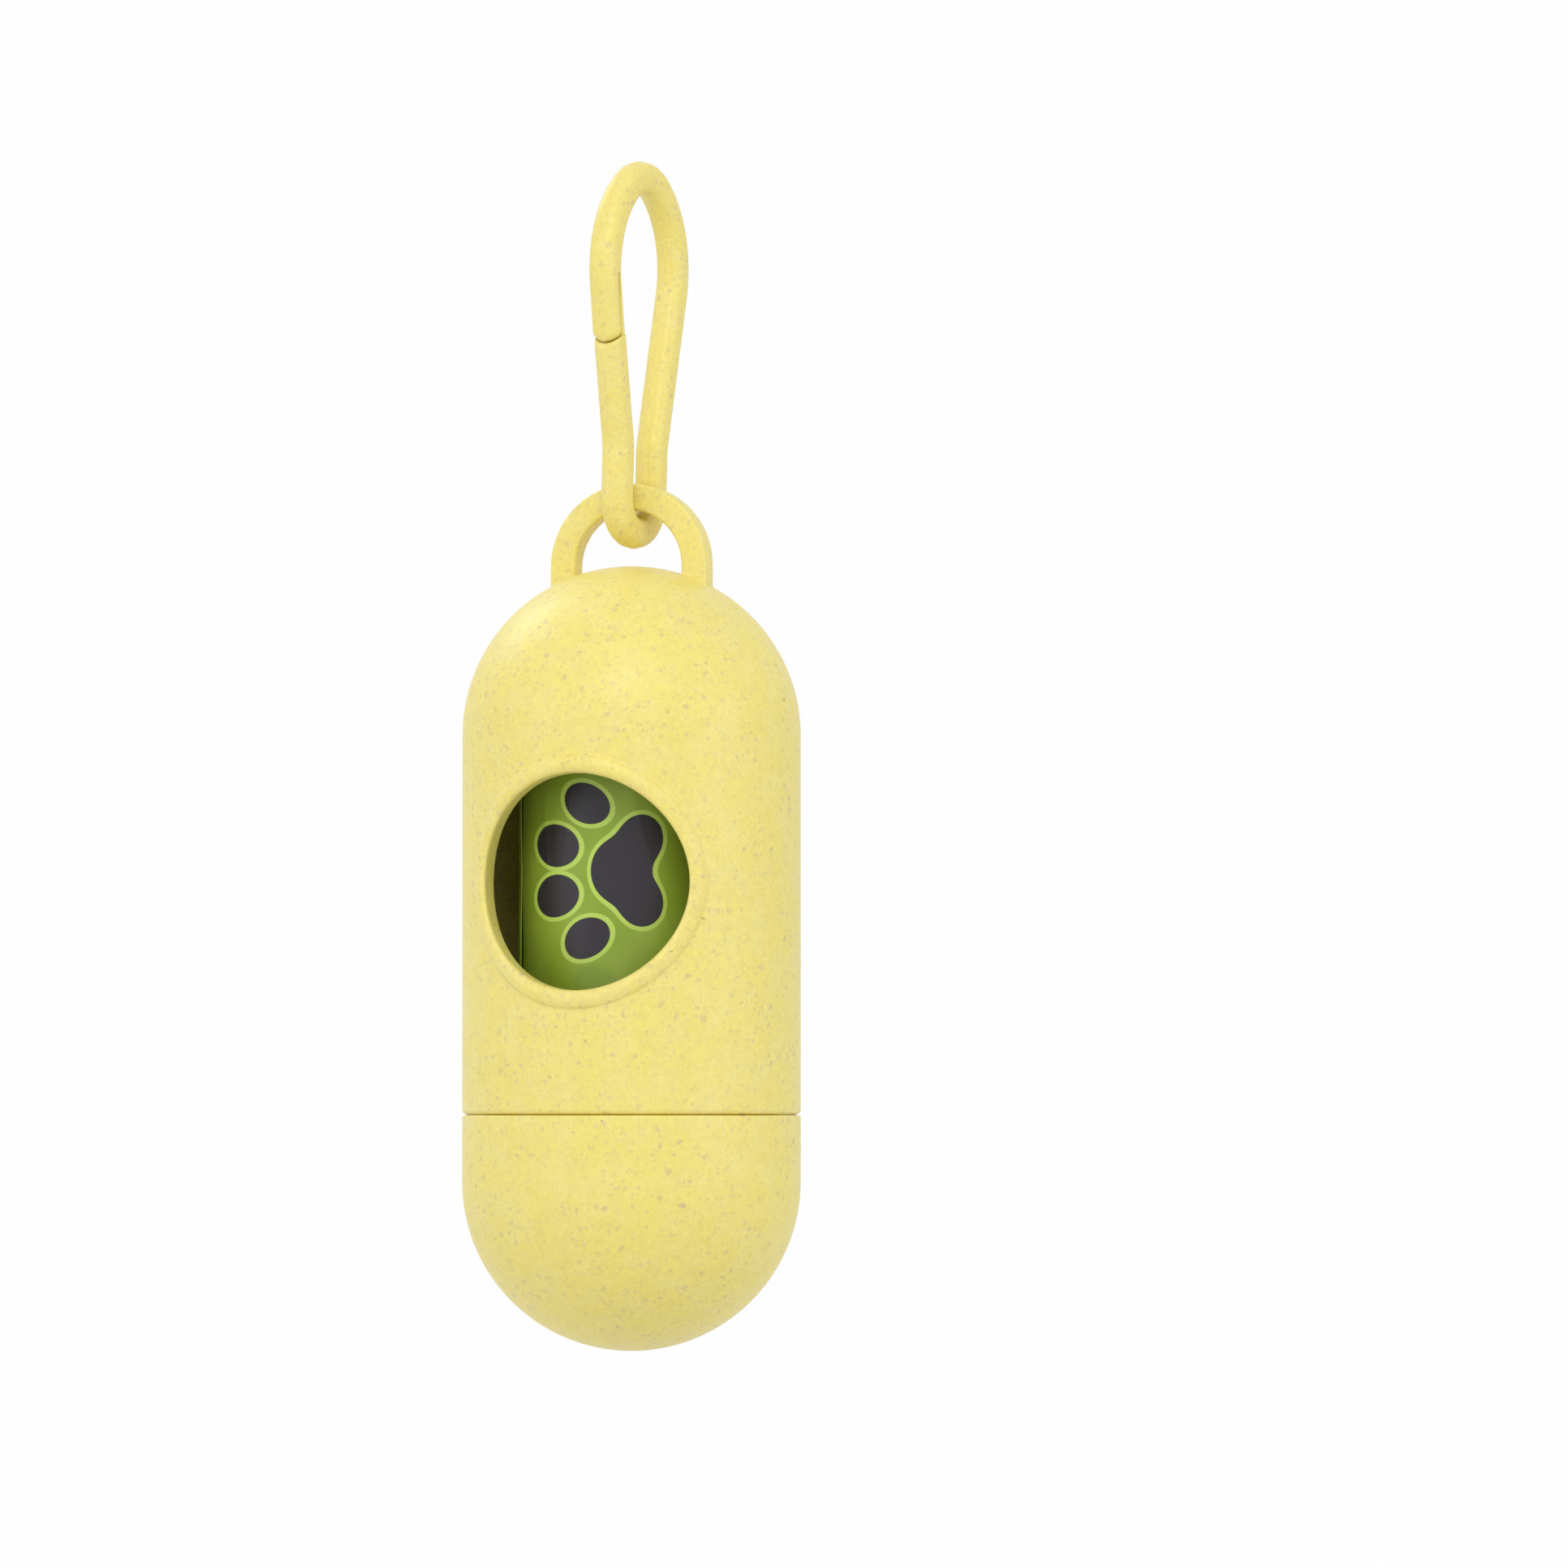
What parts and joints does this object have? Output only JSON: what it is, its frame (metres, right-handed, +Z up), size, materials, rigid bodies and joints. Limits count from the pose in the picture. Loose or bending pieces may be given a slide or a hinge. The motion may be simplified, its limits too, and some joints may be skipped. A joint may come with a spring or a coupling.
{
  "type": "dog waste bag dispenser",
  "caption": "Capsule dispenser for a roll of dog waste bags: domed case with a round front opening and a bail, screw-on domed cap, and a pear-shaped snap clip for a leash.",
  "frame": {"origin": "lowest point of the closed capsule, on its axis", "axes": "+Z up along the axis of the capsule towards the bail and the clip, -Y out of the dispensing opening, +X to the right when the opening faces the viewer"},
  "size_m": [0.04, 0.0406, 0.1407],
  "materials": {
    "speckled_shell": "satin straw-filled plastic with fine mauve and tan flecks",
    "clip_plastic": "satin straw-filled plastic with sparse flecks",
    "core_card": "grey wound card",
    "bag_film": "thin glossy film with soft creases and a black paw print"
  },
  "bodies": {
    "clip": {"clip_hook": "clip_plastic"},
    "gate": {"clip_gate": "clip_plastic"},
    "case": {"case_body": "speckled_shell"},
    "core": {"roll_core": "core_card"},
    "cap": {"screw_cap": "speckled_shell"},
    "bags": {"wound_bags": "bag_film", "first_bag": "bag_film"}
  },
  "joints": [
    {"name": "gate_flex", "type": "hinge", "parent": "clip", "child": "gate", "pos_m": [-0.00025, -0.00418, 0.10751], "axis": [-0.9866, 0.1616, 0.0241], "range_deg": [0, 24], "stiffness_Nm_per_rad": 0.1},
    {"name": "case_swing", "type": "hinge", "parent": "clip", "child": "case", "pos_m": [0, 0, 0.10084], "axis": [1, 0, 0], "range_deg": [-90, 90]},
    {"name": "roll_drop", "type": "slide", "parent": "case", "child": "core", "axis": [0, 0, -1], "range_m": [0, 0.008]},
    {"name": "cap_twist", "type": "hinge", "parent": "core", "child": "cap", "pos_m": [0, 0, 0.02], "axis": [0, 0, -1], "range_deg": [0, 720]},
    {"name": "roll_spin", "type": "hinge", "parent": "core", "child": "bags", "pos_m": [0, 0, 0.04], "axis": [0, 0, 1], "continuous": true}
  ],
  "couplings": [
    {"joint": "cap_twist", "follows": "roll_drop", "rad_per_m": 1570.8}
  ]
}
